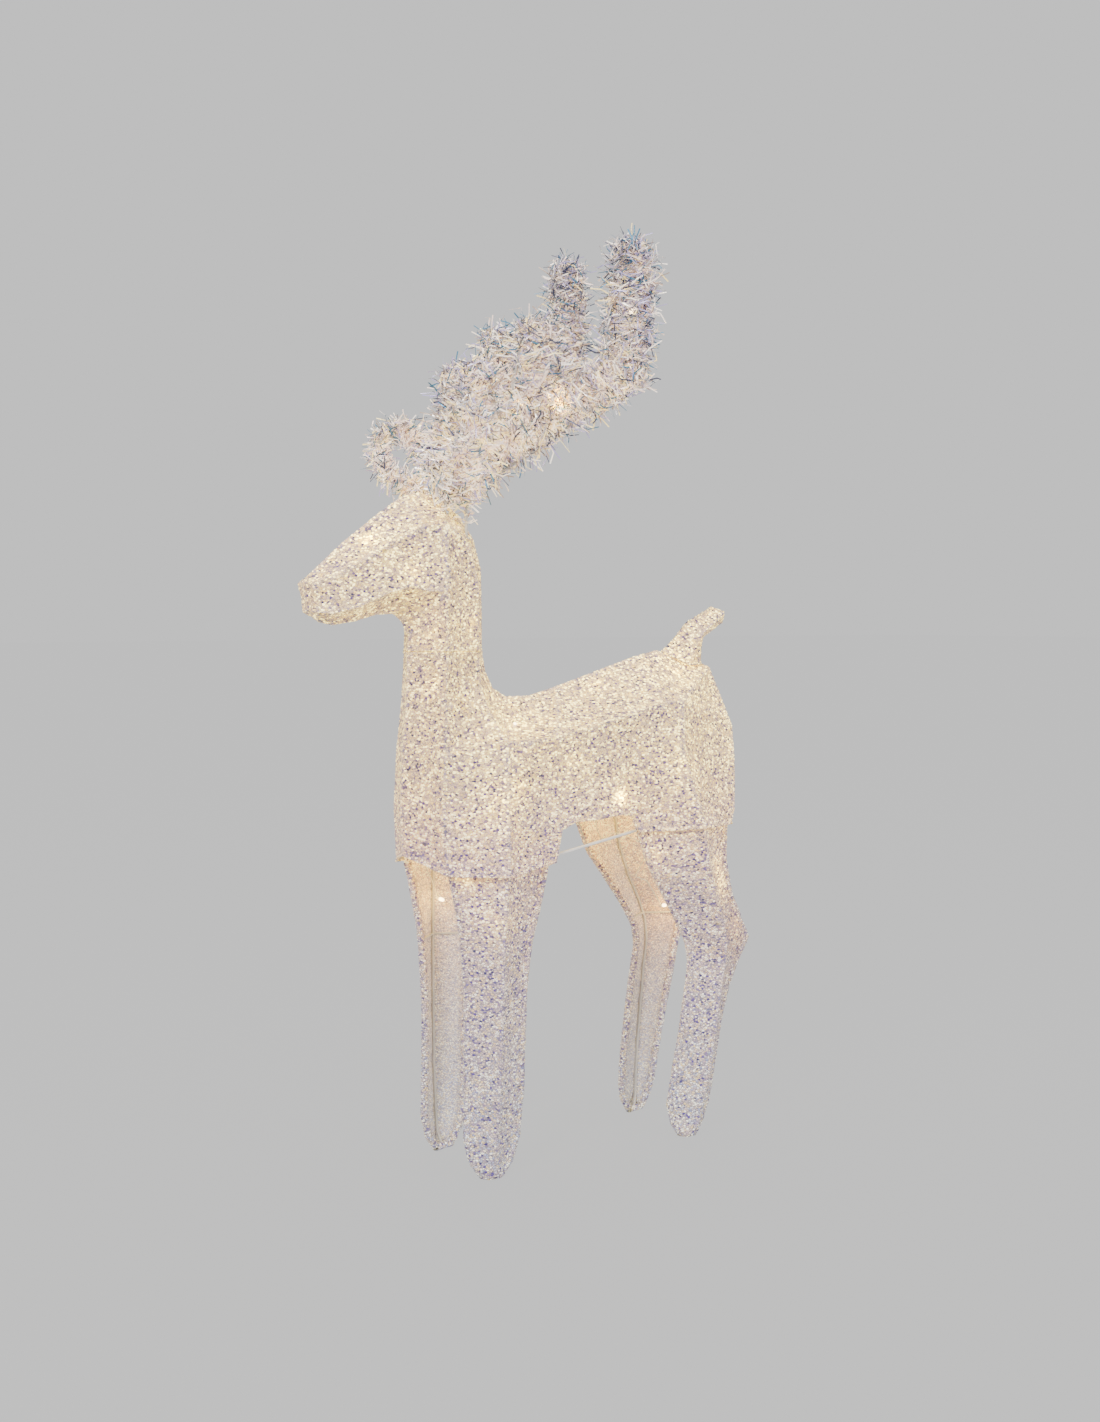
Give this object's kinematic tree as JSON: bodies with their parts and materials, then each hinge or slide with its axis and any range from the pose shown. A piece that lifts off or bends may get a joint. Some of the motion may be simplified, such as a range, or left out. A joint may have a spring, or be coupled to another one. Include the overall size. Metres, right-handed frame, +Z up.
{
  "type": "light-up yard reindeer",
  "caption": "Standing outdoor reindeer of wire sections under white glitter mesh, lit from inside, with tinsel-wrapped antlers, four plug-in legs and a short upright tail.",
  "frame": {"origin": "centre of the footprint on the floor, under the middle of the overall box", "axes": "+Z up; the reindeer faces -Y; +X is the reindeer's left side"},
  "size_m": [0.233, 0.643, 1.2],
  "materials": {
    "painted_wire": "white powder-coated wire",
    "glitter_knit": "open white knit with iridescent metallic thread",
    "tinsel": "iridescent silver tinsel garland, cut foil strips",
    "light_string": "clear cable with warm white bulbs, lit",
    "socket_tube": "white-painted steel tube",
    "white_plastic": "white moulded plastic"
  },
  "bodies": {
    "body": {"frame_body": "painted_wire", "skin_body": "glitter_knit", "side_rail_left": "painted_wire", "side_rail_right": "painted_wire", "light_string_body": "light_string", "power_connector": "white_plastic", "neck_socket_left": "socket_tube", "neck_socket_right": "socket_tube", "neck_socket_back": "socket_tube", "tail_socket_left": "socket_tube", "tail_socket_right": "socket_tube", "socket_front_leg_front_left": "socket_tube", "socket_front_leg_front_right": "socket_tube", "socket_front_leg_rear_left": "socket_tube", "socket_front_leg_rear_right": "socket_tube", "socket_hind_leg_front_left": "socket_tube", "socket_hind_leg_front_right": "socket_tube", "socket_hind_leg_rear_left": "socket_tube", "socket_hind_leg_rear_right": "socket_tube"},
    "head": {"frame_head": "painted_wire", "skin_head": "glitter_knit", "light_string_head": "light_string", "antler_socket_front_left": "socket_tube", "antler_socket_front_right": "socket_tube", "antler_socket_rear_left": "socket_tube", "antler_socket_rear_right": "socket_tube"},
    "antler_left": {"frame_antler_left": "painted_wire", "tinsel_antler_left": "tinsel", "light_string_antler_left": "light_string"},
    "antler_right": {"frame_antler_right": "painted_wire", "tinsel_antler_right": "tinsel", "light_string_antler_right": "light_string"},
    "tail": {"frame_tail": "painted_wire", "skin_tail": "glitter_knit"},
    "front_leg_left": {"frame_front_leg_left": "painted_wire", "skin_front_leg_left": "glitter_knit", "light_string_front_leg_left": "light_string"},
    "front_leg_right": {"frame_front_leg_right": "painted_wire", "skin_front_leg_right": "glitter_knit", "light_string_front_leg_right": "light_string"},
    "hind_leg_left": {"frame_hind_leg_left": "painted_wire", "skin_hind_leg_left": "glitter_knit", "light_string_hind_leg_left": "light_string"},
    "hind_leg_right": {"frame_hind_leg_right": "painted_wire", "skin_hind_leg_right": "glitter_knit", "light_string_hind_leg_right": "light_string"}
  },
  "joints": [
    {"name": "head_slide", "type": "slide", "parent": "body", "child": "head", "axis": [0, 0, 1], "range_m": [0, 0.04]},
    {"name": "antler_left_slide", "type": "slide", "parent": "head", "child": "antler_left", "axis": [0, 0, 1], "range_m": [0, 0.042]},
    {"name": "antler_right_slide", "type": "slide", "parent": "head", "child": "antler_right", "axis": [0, 0, 1], "range_m": [0, 0.042]},
    {"name": "tail_slide", "type": "slide", "parent": "body", "child": "tail", "axis": [0, 0, 1], "range_m": [0, 0.035]},
    {"name": "front_leg_left_slide", "type": "slide", "parent": "body", "child": "front_leg_left", "axis": [0, 0, -1], "range_m": [0, 0.04]},
    {"name": "front_leg_right_slide", "type": "slide", "parent": "body", "child": "front_leg_right", "axis": [0, 0, -1], "range_m": [0, 0.04]},
    {"name": "hind_leg_left_slide", "type": "slide", "parent": "body", "child": "hind_leg_left", "axis": [0, 0, -1], "range_m": [0, 0.04]},
    {"name": "hind_leg_right_slide", "type": "slide", "parent": "body", "child": "hind_leg_right", "axis": [0, 0, -1], "range_m": [0, 0.04]}
  ]
}
